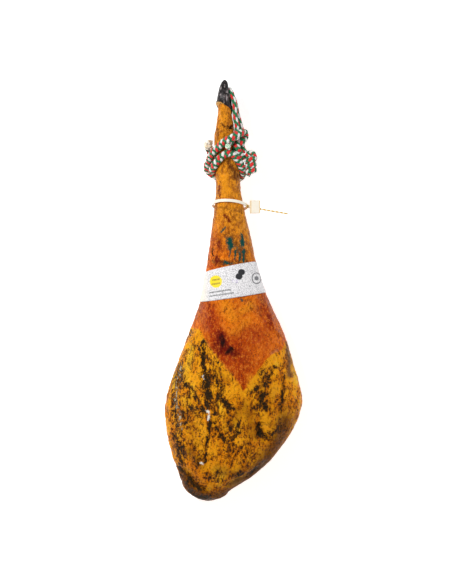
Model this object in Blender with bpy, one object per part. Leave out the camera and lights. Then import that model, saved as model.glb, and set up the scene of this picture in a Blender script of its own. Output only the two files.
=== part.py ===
"""A whole cured ham with its hoof, tied rope, plastic seal and paper band.

The leg lies on its flat side with the shown side up: +Y runs to the hoof, +X to the right of
the shown side, +Z up. The origin is on the floor, under the middle of the model's box.
Sizes are in millimetres and angles in degrees. They become metres where a mesh is made.
"""
import math

import bmesh
import bpy
from mathutils import Vector

MM = 0.001
GAP = 0.4  # clear space between pieces that touch

# The leg's section at stations along it, from the thick end to the foot.
# Each row: along, left edge, right edge, top, underside.
LEG_STATIONS = (
    (-421.5, -52, -50, 47, 45),
    (-413, -77, -22, 66, 30),
    (-396, -97, -3, 81, 18),
    (-366, -109, 43, 96, 7),
    (-334, -121, 77, 105, 0),
    (-286, -133, 113, 112, -4),
    (-246, -137, 132, 115, -5),
    (-206, -133, 136.5, 116, -5),
    (-142, -111, 119, 115, -4),
    (-78, -87, 99, 112, -1),
    (-14, -65, 69, 106, 6),
    (42, -55, 49, 101, 15),
    (114, -45, 33, 95, 25),
    (182, -36.5, 17.5, 90, 31),
    (226, -35.5, 12.5, 88, 33),
    (302, -38.8, 7, 86, 35),
    (322, -36, 1, 84, 37),
    (342, -32.2, -2, 82, 39.5),
    (363, -30.5, -5, 81, 41.5),
)
SHANK_HEIGHT = 61  # of the shank's middle above the floor
BODY_HEIGHT = 50  # of the thick part's widest line above the floor
BODY_END, SHANK_START = -110, 60  # where the widest line climbs from one to the other
SECTION_POWER = 2.25  # 2 is an ellipse, more is boxier
RING_STEP = 11  # spacing of the leg's rings
SECTORS = 44  # points round each ring

# The foot's end is one slanted cut, which both claws stand on.
FOOT_MIDDLE = (-20, 363)
FOOT_SLANT_X, FOOT_SLANT_Z = -0.45, 0.4
FOOT_BLEND = 45  # length over which the rings turn from square to slanted

# Broad relief of the shown side. Each row: start x, start y, end x, end y, width, height.
RELIEF = (
    (-59, -104, -58, -172, 5, -4.0),  # crack left of the skin's point
    (-52, -178, -48, -204, 9, -4.5),  # hollow where that crack widens
    (-26, -170, -12, -226, 9, -4.0),  # second hollow beside it
    (55, -201, 53, -221, 5, -4.5),  # hook-shaped groove, upper part
    (53, -221, 64, -230, 5, -4.0),  # its lower part
    (49, -266, 53, -280, 7, -8.0),  # deep dimple, upper part
    (53, -280, 64, -288, 6, -6.0),  # its lower part
    (78, -153, 70, -171, 5, -3.0),  # short groove under the skin's right edge
    (96, -187, 90, -238, 5, -2.5),  # groove near the right edge
    (78, -262, 84, -286, 18, 4.5),  # swelling right of the dimple
    (18, -262, 10, -300, 20, 4.0),  # swelling left of the dimple
    (-50, -256, -57, -338, 5, -2.5),  # long crack
    (-31, -270, -21, -291, 5, -3.0),  # end of a curved crease
    (-21, -291, 9, -280, 6, -3.5),  # the crease itself
    (-104, -158, -115, -226, 9, -3.5),  # hollow inside the left edge
    (-108, -351, -78, -383, 6, -6.0),  # crease above the end knob
    (-78, -383, -58, -393, 6, -6.0),  # the crease runs on
    (-62, -350, -56, -362, 16, 4.5),  # swelling above that crease
    (58, -345, 13, -373, 7, -4.5),  # crease inside the lower right rim
    (13, -373, -7, -383, 7, -4.0),  # the crease runs on
    (82, -330, -2, -398, 7, 3.0),  # the rim itself
    (-65, -30, -57, -74, 7, -2.5),  # hollow at the left of the skin
    (59, -12, 73, -47, 6, 3.0),  # fold along the right of the skin
    (73, -47, 90, -85, 6, 3.0),  # the fold runs on
    (-10, -60, 15, -120, 28, 3.5),  # swelling of the skin
    (-41, 71, -42, 86, 4, -1.5),  # nick in the skin of the shank
    (-20, 318, -2, 326, 5, -2.5),  # wrinkle above the knot
)
# The hidden side has grooves and swellings of the same kind.
BACK_RELIEF = (
    (-96, -120, -110, -230, 9, -3.5),
    (88, -150, 100, -250, 10, -3.0),
    (-70, -330, 30, -352, 8, -4.0),
    (60, -40, 84, -110, 8, 3.0),
    (-62, -30, -80, -100, 8, 2.5),
)
# The skin ends in a point. Beyond its edge the bare fat stands a little higher.
SKIN_EDGE = (
    (-98, -70), (-75, -75), (-65, -80), (-55, -102), (-23, -142), (-3, -166), (19, -197),
    (29, -185), (53, -150), (63, -137), (75, -127), (96, -118), (110, -90),
)
SKIN_STEP = 2.2  # how far the skin lies below the fat
SKIN_RAMP = 7  # width of the step
SKIN_FADE_START, SKIN_FADE_END = -60, 10  # where the sunken skin rises again towards the shank

# Claws. Each row: share of the way to the tip, left edge, right edge, cleft side and outer side
# above the shank's middle. A tip: x, along, height above the shank's middle.
OUTER_CLAW = (
    (0, -35.2, -4.8, 0.6, 20.5),
    (0.2, -33.4, -6.2, 1.6, 22.0),
    (0.45, -31.2, -8.4, 3.2, 21.0),
    (0.7, -28.2, -9.6, 4.8, 17.5),
    (0.87, -24.8, -11.0, 6.0, 14.2),
    (0.96, -21.4, -13.4, 7.2, 11.8),
)
OUTER_CLAW_TIP = (-17.6, 421.5, 9.4)
INNER_CLAW = (
    (0, -30.5, -4.0, -20.0, -0.8),
    (0.2, -35.2, 1.0, -22.5, -6.5),
    (0.42, -34.0, 6.2, -24.5, -13.0),
    (0.6, -30.0, 5.4, -25.2, -16.0),
    (0.8, -24.5, 0.0, -25.0, -17.5),
    (0.94, -19.0, -6.0, -23.8, -18.8),
)
INNER_CLAW_TIP = (-12.5, 409, -21.2)
CLAW_SECTORS = 20
FLAT_SIDE_CROWN = 0.16  # share of a claw's thickness that its cleft side bulges

# Rope: thicker where it is pressed flat in the knot than in the hanging loop.
TURNS_ROPE_RADIUS, LOOP_ROPE_RADIUS = 6.6, 5.0
TURNS_POINT_STEP, LOOP_POINT_STEP = 11.5, 9.0
ROPE_SIDES_RESOLUTION = 3
STOPPER_AXIS = (35.8, 69)  # x and z of the stopper knot's axis
STOPPER_LOW, STOPPER_HIGH = 227.5, 283.5
STOPPER_RADIUS, STOPPER_GROOVE = 11.3, 1.5
STOPPER_PITCH = 11.2
FRAY_BASE, FRAY_TIP = (-50.8, 288.6, 61.8), (-53.2, 304, 64.5)
FRAY_RADIUS = 6.8

# Plastic seal: a loose strap, a lock and a tail.
STRAP_ALONG, STRAP_TILT_FRONT, STRAP_TILT_RIGHT = 171.4, 8.0, -2.0
STRAP_WIDTH, STRAP_THICKNESS = 5.6, 2.2
STRAP_SLACK, STRAP_SLACK_LEFT, STRAP_SLACK_RIGHT = 2.4, 1.6, 3.4
LOCK_SIZE = (21, 26, 8)
LOCK_PLACE = (43, 168.5, 61)
NECK_SIZE, NECK_X = (9, 7, 4.5), 29.5
TAIL_SIZE = (60, 3.4, 1.8)
TAIL_PLACE, TAIL_TURN = (80, 159.6, 61), -10
SEAL_BEVEL = 0.9

# Paper band.
BAND_TOP, BAND_TOP_SLOPE, BAND_TOP_ARCH = 48.8, 0.205, 3.0
BAND_LOW, BAND_LOW_SLOPE, BAND_LOW_ARCH = -10.9, 0.148, -2.0
BAND_THICKNESS = 1.0
BAND_GAP = 0.9
BAND_ROWS = 6


def clear_scene():
    for thing in list(bpy.data.objects):
        bpy.data.objects.remove(thing, do_unlink=True)


def material(name, colour, roughness):
    made = bpy.data.materials.new(name)
    made.use_nodes = True
    shader = made.node_tree.nodes["Principled BSDF"]
    shader.inputs["Base Color"].default_value = (*colour, 1)
    shader.inputs["Roughness"].default_value = roughness
    return made


def add_object(name, points, faces, finish, smooth_angle=40):
    """One named object from points in millimetres."""
    mesh = bpy.data.meshes.new(name)
    mesh.from_pydata([tuple(v * MM for v in p) for p in points], [], faces)
    work = bmesh.new()
    work.from_mesh(mesh)
    bmesh.ops.recalc_face_normals(work, faces=work.faces)
    work.to_mesh(mesh)
    work.free()
    mesh.shade_smooth()
    mesh.set_sharp_from_angle(angle=math.radians(smooth_angle))
    mesh.materials.append(finish)
    thing = bpy.data.objects.new(name, mesh)
    bpy.context.scene.collection.objects.link(thing)
    return thing


def ring_faces(rows, count, close_rows=False):
    """Quads between rings of count points; the last ring meets the first if close_rows."""
    faces = []
    for row in range(rows if close_rows else rows - 1):
        a, b = row * count, (row + 1) % rows * count
        for i in range(count):
            j = (i + 1) % count
            faces.append((a + i, a + j, b + j, b + i))
    return faces


def capped_loft(rings, start, end):
    """Points and faces of a skin over rings, closed by a fan to a point at each end."""
    count = len(rings[0])
    points = [p for ring in rings for p in ring]
    faces = ring_faces(len(rings), count)
    first, last = len(points), len(points) + 1
    points += [start, end]
    for i in range(count):
        j = (i + 1) % count
        faces.append((first, j, i))
        faces.append((last, len(rings) * count - count + i, len(rings) * count - count + j))
    return points, faces


def cubic(a, b, c, d, t):
    """Catmull-Rom value between b and c."""
    return b + 0.5 * t * (c - a + t * (2 * a - 5 * b + 4 * c - d + t * (3 * (b - c) + d - a)))


def curve_through(rows, place):
    """Smooth value of each column at place, counted in rows from 0."""
    last = len(rows) - 1
    place = min(max(place, 0), last)
    i = min(int(place), last - 1)
    near = [rows[min(max(k, 0), last)] for k in range(i - 1, i + 3)]
    return [cubic(*column, place - i) for column in zip(*near)]


def evenly(rows, step):
    """Points at even spacing along the smooth curve through rows."""
    fine = [Vector(curve_through(rows, k / 24)) for k in range(24 * (len(rows) - 1) + 1)]
    reach = [0.0]
    for a, b in zip(fine, fine[1:]):
        reach.append(reach[-1] + (b - a).length)
    count = max(2, round(reach[-1] / step))
    found, k = [], 0
    for i in range(count + 1):
        want = reach[-1] * i / count
        while k < len(fine) - 2 and reach[k + 1] < want:
            k += 1
        part = (want - reach[k]) / (reach[k + 1] - reach[k])
        found.append(fine[k].lerp(fine[k + 1], part))
    return found


def ease(value, low, high):
    """0 at low, 1 at high, smooth between."""
    t = min(max((value - low) / (high - low), 0), 1)
    return t * t * (3 - 2 * t)


def waist_height(along):
    return BODY_HEIGHT + (SHANK_HEIGHT - BODY_HEIGHT) * ease(along, BODY_END, SHANK_START)


def station_place(along):
    """Place in LEG_STATIONS, counted in rows, where the smooth leg reaches along."""
    low, high = 0.0, len(LEG_STATIONS) - 1.0
    for _ in range(30):
        middle = (low + high) / 2
        if curve_through(LEG_STATIONS, middle)[0] < along:
            low = middle
        else:
            high = middle
    return low


def stroke_distance(x, y, x1, y1, x2, y2):
    across, up = x2 - x1, y2 - y1
    t = min(max(((x - x1) * across + (y - y1) * up) / (across * across + up * up), 0), 1)
    return math.hypot(x - x1 - t * across, y - y1 - t * up)


def relief_at(x, y, rows):
    """Sum of soft-edged strokes."""
    total = 0
    for x1, y1, x2, y2, width, height in rows:
        away = stroke_distance(x, y, x1, y1, x2, y2) / width
        if away < 3:
            total += height * math.exp(-away * away)
    return total


def skin_depth(x, y):
    """How far the skin lies below the fat here: all of SKIN_STEP well inside its edge."""
    inside, nearest = False, 1e9
    for (x1, y1), (x2, y2) in zip(SKIN_EDGE, SKIN_EDGE[1:]):
        nearest = min(nearest, stroke_distance(x, y, x1, y1, x2, y2))
        if x1 <= x < x2:
            inside = y > y1 + (y2 - y1) * (x - x1) / (x2 - x1)
    fade = 1 - ease(y, SKIN_FADE_START, SKIN_FADE_END)
    return -SKIN_STEP * fade * ease(nearest if inside else 0, 0, SKIN_RAMP)


def leg_point(angle, place, out=0.0):
    """Point on the leg's skin, or out from it. Angle 0 is the shown side, 90 the right.

    place counts rows of LEG_STATIONS, as station_place gives it.
    """
    along, left, right, top, low = curve_through(LEG_STATIONS, place)
    waist = min(max(waist_height(along), low + 1), top - 1)
    side, front = math.sin(math.radians(angle)), math.cos(math.radians(angle))
    power = 2 / SECTION_POWER
    middle, half = (left + right) / 2, (right - left) / 2
    tall = top - waist if front > 0 else waist - low
    x = half * math.copysign(abs(side) ** power, side)
    z = tall * math.copysign(abs(front) ** power, front)
    way = Vector((x / half ** 2, 0, z / tall ** 2)).normalized()
    facing = abs(front) ** 0.5
    if front > 0:
        shaped = relief_at(middle + x, along, RELIEF) + skin_depth(middle + x, along)
    else:
        shaped = relief_at(middle + x, along, BACK_RELIEF)
    point = Vector((middle + x, along, waist + z)) + way * (shaped * facing + out)
    slant = ease(along, FOOT_MIDDLE[1] - FOOT_BLEND, FOOT_MIDDLE[1])
    point.y += slant * (FOOT_SLANT_X * (point.x - FOOT_MIDDLE[0]) + FOOT_SLANT_Z * (point.z - SHANK_HEIGHT))
    return point


def leg_rings():
    """Rings from the thick end to the foot, about RING_STEP apart along the leg's outline."""
    fine = [curve_through(LEG_STATIONS, k / 16) for k in range(16 * (len(LEG_STATIONS) - 1) + 1)]
    reach = [0.0]
    for a, b in zip(fine, fine[1:]):
        reach.append(reach[-1] + math.hypot(b[0] - a[0], max(abs(b[i] - a[i]) for i in (1, 2, 3)) * 0.7))
    count = round(reach[-1] / RING_STEP)
    places, k = [], 0
    for i in range(count + 1):
        want = reach[-1] * max(i / count, 0.25 / count)
        while k < len(fine) - 2 and reach[k + 1] < want:
            k += 1
        places.append((k + (want - reach[k]) / (reach[k + 1] - reach[k])) / 16)
    return [[leg_point(360 * s / SECTORS, place) for s in range(SECTORS)] for place in places]


def middle_of(ring):
    return sum(ring, Vector()) / len(ring)


def make_ham(finish):
    """The leg, its underside pressed flat where it lies."""
    rings = leg_rings()
    for ring in rings:
        for point in ring:
            point.z = max(point.z, 0)
    along, left, right, top, low = LEG_STATIONS[0]
    start = Vector(((left + right) / 2, along, (top + low) / 2))
    points, faces = capped_loft(rings, start, middle_of(rings[-1]))
    return add_object("ham", points, faces, finish)


def foot_end(x, z):
    """Where along the leg the slanted cut of the foot lies."""
    return FOOT_MIDDLE[1] + FOOT_SLANT_X * (x - FOOT_MIDDLE[0]) + FOOT_SLANT_Z * (z - SHANK_HEIGHT)


def claw_ring(row, tip, cleft_below):
    """D-shaped ring of a claw, flat towards the cleft between the claws."""
    share, left, right, low, high = row
    middle, half = (left + right) / 2, (right - left) / 2
    flat, dome = (low, high) if cleft_below else (high, low)
    ring = []
    for s in range(CLAW_SECTORS):
        turn = 2 * math.pi * s / CLAW_SECTORS
        across, up = math.cos(turn), math.sin(turn)
        x = middle + half * math.copysign(abs(across) ** 0.85, across)
        rise = FLAT_SIDE_CROWN + (1 - FLAT_SIDE_CROWN) * up ** 0.8 if up > 0 else FLAT_SIDE_CROWN * (1 + up)
        z = SHANK_HEIGHT + flat + (dome - flat) * rise
        base = foot_end(x, z) + GAP
        ring.append(Vector((x, base + share * (tip[1] - base), z)))
    return ring


def make_claw(name, rows, tip, cleft_below, finish):
    steps = 3 * (len(rows) - 1)
    rings = [claw_ring(curve_through(rows, k / 3), tip, cleft_below) for k in range(steps + 1)]
    peak = Vector((tip[0], tip[1], SHANK_HEIGHT + tip[2]))
    points, faces = capped_loft(rings, middle_of(rings[0]), peak)
    return add_object(name, points, faces, finish)


def on_shank(angle, along, out):
    """Rope route point: angle round the shank, place along it, and how far out of the skin."""
    return leg_point(angle, station_place(along), out)


def turns_route():
    """Rope from the frayed end, twice round the shank and over itself to the stopper knot."""
    tail = [(-92, 284, 10.6), (-104, 279, 9.4), (-119, 272, 7.8), (-132, 263, 7.2), (-134, 253, 7.2),
            (-118, 244.5, 7.2), (-98, 240.5, 7.2), (-78, 241.5, 7.2)]
    lower_turn = [(-60, 246.5, 7.2), (-44, 253, 7.2), (-28, 260, 7.2), (-14, 266.5, 7.2), (-2, 271, 7.3),
                  (10, 272.5, 7.4), (22, 270, 7.3), (34, 264.5, 7.2), (47, 257.5, 7.2), (63, 250, 7.2),
                  (84, 240, 7.2), (108, 233, 7.2)]
    behind = [(135, 228, 7.4), (160, 226.5, 7.6), (185, 228, 9.6), (208, 232.5, 17.5), (226, 238.5, 21.4),
              (242, 246, 21.4), (256, 253, 16.5), (268, 260.5, 12)]
    upper_turn = [(282, 267, 9), (303, 274.5, 7.4), (326, 281.5, 7.3), (344, 288, 9.4), (358, 294.5, 15),
                  (368, 299, 19.8), (378, 303.5, 22.4), (389, 308, 22.8), (399, 311.5, 22.6), (408, 314, 20.6)]
    over = [(21.2, 314, 85), (22.8, 308.5, 81), (20.8, 302, 82), (16.2, 297.5, 85.5)]
    last_turn = [(46, 291.5, 9), (41, 285, 7.4), (44, 279.5, 7.3), (54, 275, 7.3), (66, 269, 7.6)]
    end = [(15.8, 264.5, 69.5), (17.8, 263, 68)]
    first = [on_shank(*p) for p in tail + lower_turn + behind + upper_turn]
    return first + [Vector(p) for p in over] + [on_shank(*p) for p in last_turn] + [Vector(p) for p in end]


def loop_route():
    """Rope from the stopper knot up over the hoof, back and under the turns to its cut end."""
    rise = [(23.6, 276.2, 72), (19.4, 281.6, 72), (16.8, 289, 71.5), (17.2, 297, 69), (18.4, 306, 65),
            (17.6, 315, 61.5), (15.6, 323, 59.5), (12.8, 334, 58), (9, 347, 57), (5.8, 360, 56.4),
            (4, 372, 54), (0.6, 383, 51.6), (-3.2, 391, 50.4)]
    bend = [(-6, 397, 50.4), (-7.6, 401.6, 53), (-8.2, 403.2, 57.4), (-7.2, 401, 61.8), (-4.6, 396.4, 64)]
    fall = [(-2.6, 390, 65), (0.8, 380, 67), (2.2, 368, 68.2), (2.8, 356, 68), (4, 345, 67.5),
            (5.8, 334, 69), (7.2, 325, 72.5), (6.2, 317, 78.5)]
    tuck = [(37, 308.5, 7.9), (26, 300, 7.3), (14, 291.5, 7.4), (5, 285, 8.6)]
    cut_end = [(-10.4, 283, 99.5), (-11.6, 283, 105), (-11.6, 284.4, 111)]
    over_hoof = [Vector(p) for p in rise + bend + fall]
    return over_hoof + [on_shank(*p) for p in tuck] + [Vector(p) for p in cut_end]


def make_rope(name, route, radius, step, finish):
    """A round tube along the smooth curve through route."""
    curve = bpy.data.curves.new(name, "CURVE")
    curve.dimensions = "3D"
    curve.bevel_depth = radius * MM
    curve.bevel_resolution = ROPE_SIDES_RESOLUTION
    curve.use_fill_caps = True
    places = evenly(route, step)
    line = curve.splines.new("POLY")
    line.points.add(len(places) - 1)
    for point, place in zip(line.points, places):
        point.co = (*(place * MM), 1)
    curve.materials.append(finish)
    thing = bpy.data.objects.new(name, curve)
    bpy.context.scene.collection.objects.link(thing)
    return thing


def make_stopper(finish):
    """The stopper knot: a barrel of rope turns with a winding groove between them."""
    rows, count = 30, 18
    middle, half = (STOPPER_LOW + STOPPER_HIGH) / 2, (STOPPER_HIGH - STOPPER_LOW) / 2
    rings = []
    for row in range(1, rows):
        level = -math.cos(math.pi * row / rows)
        bulge = (1 - abs(level) ** 3.2) ** 0.5
        ring = []
        for s in range(count):
            turn = 2 * math.pi * s / count
            wave = math.cos(2 * math.pi * half * level / STOPPER_PITCH - turn)
            radius = STOPPER_RADIUS * bulge - STOPPER_GROOVE * bulge * (0.5 - 0.5 * wave)
            ring.append(Vector((STOPPER_AXIS[0] + radius * math.cos(turn), middle + half * level,
                                STOPPER_AXIS[1] + radius * math.sin(turn))))
        rings.append(ring)
    start = Vector((STOPPER_AXIS[0], STOPPER_LOW, STOPPER_AXIS[1]))
    end = Vector((STOPPER_AXIS[0], STOPPER_HIGH, STOPPER_AXIS[1]))
    points, faces = capped_loft(rings, start, end)
    return add_object("rope_knot", points, faces, finish)


def make_fray(finish):
    """The rope's pale, puffed-out end."""
    base, tip = Vector(FRAY_BASE), Vector(FRAY_TIP)
    axis = (tip - base).normalized()
    side = axis.cross(Vector((0, 0, 1))).normalized()
    up = side.cross(axis)
    rows, count = 9, 14
    rings = []
    for row in range(rows):
        level = row / (rows - 1)
        swell = FRAY_RADIUS * (0.86 + 0.5 * math.sin(math.pi * level ** 0.8)) * (1 - 0.42 * level ** 4)
        ring = []
        for s in range(count):
            turn = 2 * math.pi * s / count
            tuft = 1 + 0.09 * math.sin(3 * turn + 4 * level) + 0.06 * math.sin(5 * turn - 7 * level)
            ring.append(base.lerp(tip, level) + (side * math.cos(turn) + up * math.sin(turn)) * swell * tuft)
        rings.append(ring)
    points, faces = capped_loft(rings, base, tip + axis * 2.5)
    return add_object("rope_fray", points, faces, finish)


def make_strap(finish):
    """The seal's strap, a flat ring that hangs loose round the shank."""
    count = 40
    rings = []
    for s in range(count):
        angle = 360 * s / count
        side, front = math.sin(math.radians(angle)), math.cos(math.radians(angle))
        along = STRAP_ALONG + STRAP_TILT_FRONT * front + STRAP_TILT_RIGHT * side
        slack = STRAP_SLACK + (STRAP_SLACK_RIGHT if side > 0 else STRAP_SLACK_LEFT) * side * side
        corners = ((0, -0.5), (1, -0.5), (1, 0.5), (0, 0.5))
        ring = []
        for thick, wide in corners:
            place = station_place(along)
            point = leg_point(angle, place, slack + thick * STRAP_THICKNESS)
            point.y += wide * STRAP_WIDTH
            ring.append(point)
        rings.append(ring)
    points = [p for ring in rings for p in ring]
    return add_object("seal_tie", points, ring_faces(count, 4, close_rows=True), finish, 30)


def make_block(name, size, place, turn, finish):
    """A box with rounded edges."""
    x, y, z = (v / 2 for v in size)
    corners = [(i * x, j * y, k * z) for k in (-1, 1) for j in (-1, 1) for i in (-1, 1)]
    faces = [(0, 2, 3, 1), (4, 5, 7, 6), (0, 1, 5, 4), (2, 6, 7, 3), (0, 4, 6, 2), (1, 3, 7, 5)]
    block = add_object(name, corners, faces, finish, 30)
    block.location = [v * MM for v in place]
    block.rotation_euler.z = math.radians(turn)
    bevel = block.modifiers.new("edges", "BEVEL")
    bevel.width = min(SEAL_BEVEL, 0.4 * min(size)) * MM
    bevel.segments = 1
    return block


def make_seal(finish):
    """Strap, neck, lock and tail as one solid."""
    strap = make_strap(finish)
    blocks = [
        make_block("neck", NECK_SIZE, (NECK_X, LOCK_PLACE[1] + 1, LOCK_PLACE[2]), 0, finish),
        make_block("lock", LOCK_SIZE, LOCK_PLACE, 0, finish),
        make_block("tail", TAIL_SIZE, TAIL_PLACE, TAIL_TURN, finish),
    ]
    parts = bpy.data.collections.new("seal parts")
    bpy.context.scene.collection.children.link(parts)
    for block in blocks:
        bpy.context.scene.collection.objects.unlink(block)
        parts.objects.link(block)
    union = strap.modifiers.new("join", "BOOLEAN")
    union.operation = "UNION"
    union.solver = "EXACT"
    union.operand_type = "COLLECTION"
    union.collection = parts
    bpy.context.view_layer.update()
    joined = bpy.data.meshes.new_from_object(strap.evaluated_get(bpy.context.evaluated_depsgraph_get()))
    strap.modifiers.clear()
    strap.data = joined
    for block in blocks:
        bpy.data.objects.remove(block, do_unlink=True)
    bpy.data.collections.remove(parts)
    return strap


def band_edge(angle, level, slope, arch):
    """Place along the leg of a band edge that slants across it."""
    along = level
    for _ in range(4):
        point = leg_point(angle, station_place(along), BAND_GAP)
        along = level + slope * point.x + arch * math.cos(math.radians(angle))
    return along


def make_band(finish):
    """Paper sleeve, a thin skin that follows the leg."""
    columns = []
    for s in range(SECTORS):
        angle = 360 * s / SECTORS
        low = band_edge(angle, BAND_LOW, BAND_LOW_SLOPE, BAND_LOW_ARCH)
        top = band_edge(angle, BAND_TOP, BAND_TOP_SLOPE, BAND_TOP_ARCH)
        places = [station_place(low + (top - low) * row / (BAND_ROWS - 1)) for row in range(BAND_ROWS)]
        inner = [leg_point(angle, place, BAND_GAP) for place in places]
        outer = [leg_point(angle, place, BAND_GAP + BAND_THICKNESS) for place in places]
        columns.append(inner + outer[::-1])
    points = [p for column in columns for p in column]
    return add_object("label_band", points, ring_faces(SECTORS, 2 * BAND_ROWS, close_rows=True), finish)


def main():
    clear_scene()
    meat = material("ham", (0.62, 0.27, 0.05), 0.45)
    horn = material("hoof", (0.03, 0.028, 0.03), 0.35)
    rope = material("rope", (0.3, 0.2, 0.15), 0.8)
    cotton = material("rope fray", (0.75, 0.66, 0.52), 0.9)
    plastic = material("seal", (0.85, 0.8, 0.66), 0.4)
    paper = material("label band", (0.82, 0.82, 0.82), 0.6)
    make_ham(meat)
    make_claw("hoof_outer", OUTER_CLAW, OUTER_CLAW_TIP, True, horn)
    make_claw("hoof_inner", INNER_CLAW, INNER_CLAW_TIP, False, horn)
    make_rope("rope_turns", turns_route(), TURNS_ROPE_RADIUS, TURNS_POINT_STEP, rope)
    make_rope("rope_loop", loop_route(), LOOP_ROPE_RADIUS, LOOP_POINT_STEP, rope)
    make_stopper(rope)
    make_fray(cotton)
    make_seal(plastic)
    make_band(paper)


main()
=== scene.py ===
"""Looks of the cured ham: fine skin and fat, horn, braided rope, seal, paper band, light and camera.

Lengths in the tables are millimetres in the frame of the solids: +Y to the hoof, +X to the right
of the shown side, +Z up towards the camera. They become metres where a mesh is made.
"""
import math

import bmesh
import bpy
import numpy as np
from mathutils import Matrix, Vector, noise


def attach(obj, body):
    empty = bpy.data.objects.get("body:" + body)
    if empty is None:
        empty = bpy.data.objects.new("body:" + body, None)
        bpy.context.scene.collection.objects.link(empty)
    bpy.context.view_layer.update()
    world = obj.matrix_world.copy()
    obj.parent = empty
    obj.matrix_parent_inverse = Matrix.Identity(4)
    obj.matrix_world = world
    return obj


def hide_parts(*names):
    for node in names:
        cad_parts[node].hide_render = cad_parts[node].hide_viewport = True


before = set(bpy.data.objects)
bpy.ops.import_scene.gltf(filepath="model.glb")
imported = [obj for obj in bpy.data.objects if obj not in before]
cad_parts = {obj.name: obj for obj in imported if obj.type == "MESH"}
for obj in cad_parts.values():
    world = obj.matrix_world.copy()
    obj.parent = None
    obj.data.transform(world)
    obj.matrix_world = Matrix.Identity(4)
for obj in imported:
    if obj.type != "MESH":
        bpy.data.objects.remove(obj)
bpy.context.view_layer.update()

MM = 0.001

# The leg of the solids, up to 1.2 mm wider beside the rope's loop, which touches it there.
# Each row: along, left edge, right edge, top, underside.
LEG_STATIONS = np.array((
    (-421.5, -52, -50, 47, 45),
    (-413, -77, -22, 66, 30),
    (-396, -97, -3, 81, 18),
    (-366, -109, 43, 96, 7),
    (-334, -121, 77, 105, 0),
    (-286, -133, 113, 112, -4),
    (-246, -137, 132, 115, -5),
    (-206, -133, 136.5, 116, -5),
    (-142, -111, 119, 115, -4),
    (-78, -87, 99, 112, -1),
    (-14, -65, 69, 106, 6),
    (42, -55, 49, 101, 15),
    (114, -45, 33, 95, 25),
    (182, -36.5, 17.5, 90, 31),
    (226, -35.5, 12.5, 88, 33),
    (302, -38.8, 7, 86, 35),
    (322, -36, 2, 84, 37),
    (342, -32.2, -0.8, 82, 39.5),
    (363, -30.5, -4.2, 81, 41.5),
))
SHANK_HEIGHT, BODY_HEIGHT = 61, 50
BODY_END, SHANK_START = -110, 60
SECTION_POWER = 2.25
FOOT_MIDDLE = (-20, 363)
FOOT_SLANT_X, FOOT_SLANT_Z = -0.45, 0.4
FOOT_BLEND = 45

# Marks on the leg are lines in the plane of the shown side: their points, a width and a strength.
# Relief marks: the strength is the height in millimetres.
RELIEF = (
    (((-59, -104), (-60, -140), (-58, -172)), 3.2, -4.5),  # crack left of the skin's point
    (((-53, -178), (-47, -204)), 8, -4.5),  # hollow where that crack widens
    (((-38, -165), (-23, -192), (-28, -206), (-9, -228)), 6.5, -3.6),  # hollow beside it
    (((55, -199), (52, -219), (64, -230)), 4, -5),  # hook-shaped groove
    (((49, -264), (52, -279), (65, -290)), 5.2, -9),  # deep dimple
    (((80, -151), (70, -171)), 3.6, -3),  # short groove under the skin's right edge
    (((99, -167), (97, -205), (92, -238)), 2.6, -2.5),  # groove near the right edge
    (((76, -258), (84, -282)), 15, 4.5),  # swelling right of the dimple
    (((20, -262), (34, -300)), 13, 3.5),  # swelling left of the dimple
    (((-47, -256), (-49, -278), (-55, -306), (-56, -338)), 2.8, -3.6),  # long crack
    (((-39, -257), (-29, -274), (-21, -291), (-7, -292), (9, -278)), 3, -2.6),  # curved crease
    (((9, -254), (9, -270)), 4, -2.5),  # small oval hollow
    (((-94, -185), (-80, -195), (-68, -217)), 4, -1.6),  # arc-shaped dent
    (((-104, -152), (-115, -192), (-117, -226), (-108, -262)), 7, -3.2),  # hollow inside the left edge
    (((-109, -350), (-92, -361), (-78, -383), (-58, -393)), 4.5, -7.5),  # crease above the end knob
    (((-84, -398), (-69, -408)), 5, -2.5),  # second crease below it
    (((-76, -345), (-62, -366)), 13, 4.5),  # swelling above that crease
    (((-88, -318), (-74, -330)), 7, 2.5),  # lumps at the lower left
    (((62, -343), (36, -361), (14, -373), (-7, -383)), 5.5, -5),  # crease inside the lower rim
    (((84, -328), (46, -362), (-2, -398)), 7, 3),  # the rim itself
    (((58, -290), (70, -312)), 10, -2),  # shallow valley at the lower right
    (((-65, -30), (-62, -52), (-57, -74)), 6, -2.8),  # hollow at the left of the skin
    (((59, -12), (73, -47), (81, -73), (90, -85)), 4.2, 3),  # fold along the right of the skin
    (((36, -18), (50, -28)), 3, -1.5),  # wrinkles under the band
    (((-10, -60), (15, -120)), 28, 3.5),  # swelling of the skin
    (((-41, 71), (-42, 86)), 2.6, -2.2),  # nick in the skin of the shank
    (((-18, 321), (-8, 322), (2, 328)), 3.2, -3.4),  # wrinkle above the knot
    (((-24, 312), (-10, 316)), 4, 1.2),  # fold under that wrinkle
)
BACK_RELIEF = (
    (((-96, -120), (-104, -170), (-110, -230)), 7, -3.5),
    (((88, -150), (100, -250)), 7, -3),
    (((-70, -330), (-20, -346), (30, -352)), 6, -4),
    (((60, -40), (84, -110)), 7, 3),
    (((-62, -30), (-80, -100)), 7, 2.5),
)
# Edge of the skin on each side, from left to right. Beyond it the bare fat stands higher.
SKIN_EDGE = (
    (-98, -70), (-75, -75), (-65, -80), (-55, -102), (-39, -122), (-23, -142), (-3, -166), (19, -197),
    (29, -185), (41, -168), (53, -150), (63, -137), (75, -127), (96, -118), (110, -90),
)
BACK_SKIN_EDGE = (
    (-110, -90), (-80, -112), (-52, -120), (-20, -150), (8, -168),
    (34, -150), (60, -128), (96, -118), (120, -90),
)
SKIN_STEP, SKIN_RAMP = 2.4, 4.0
SKIN_FADE = (-60, 10)

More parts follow.
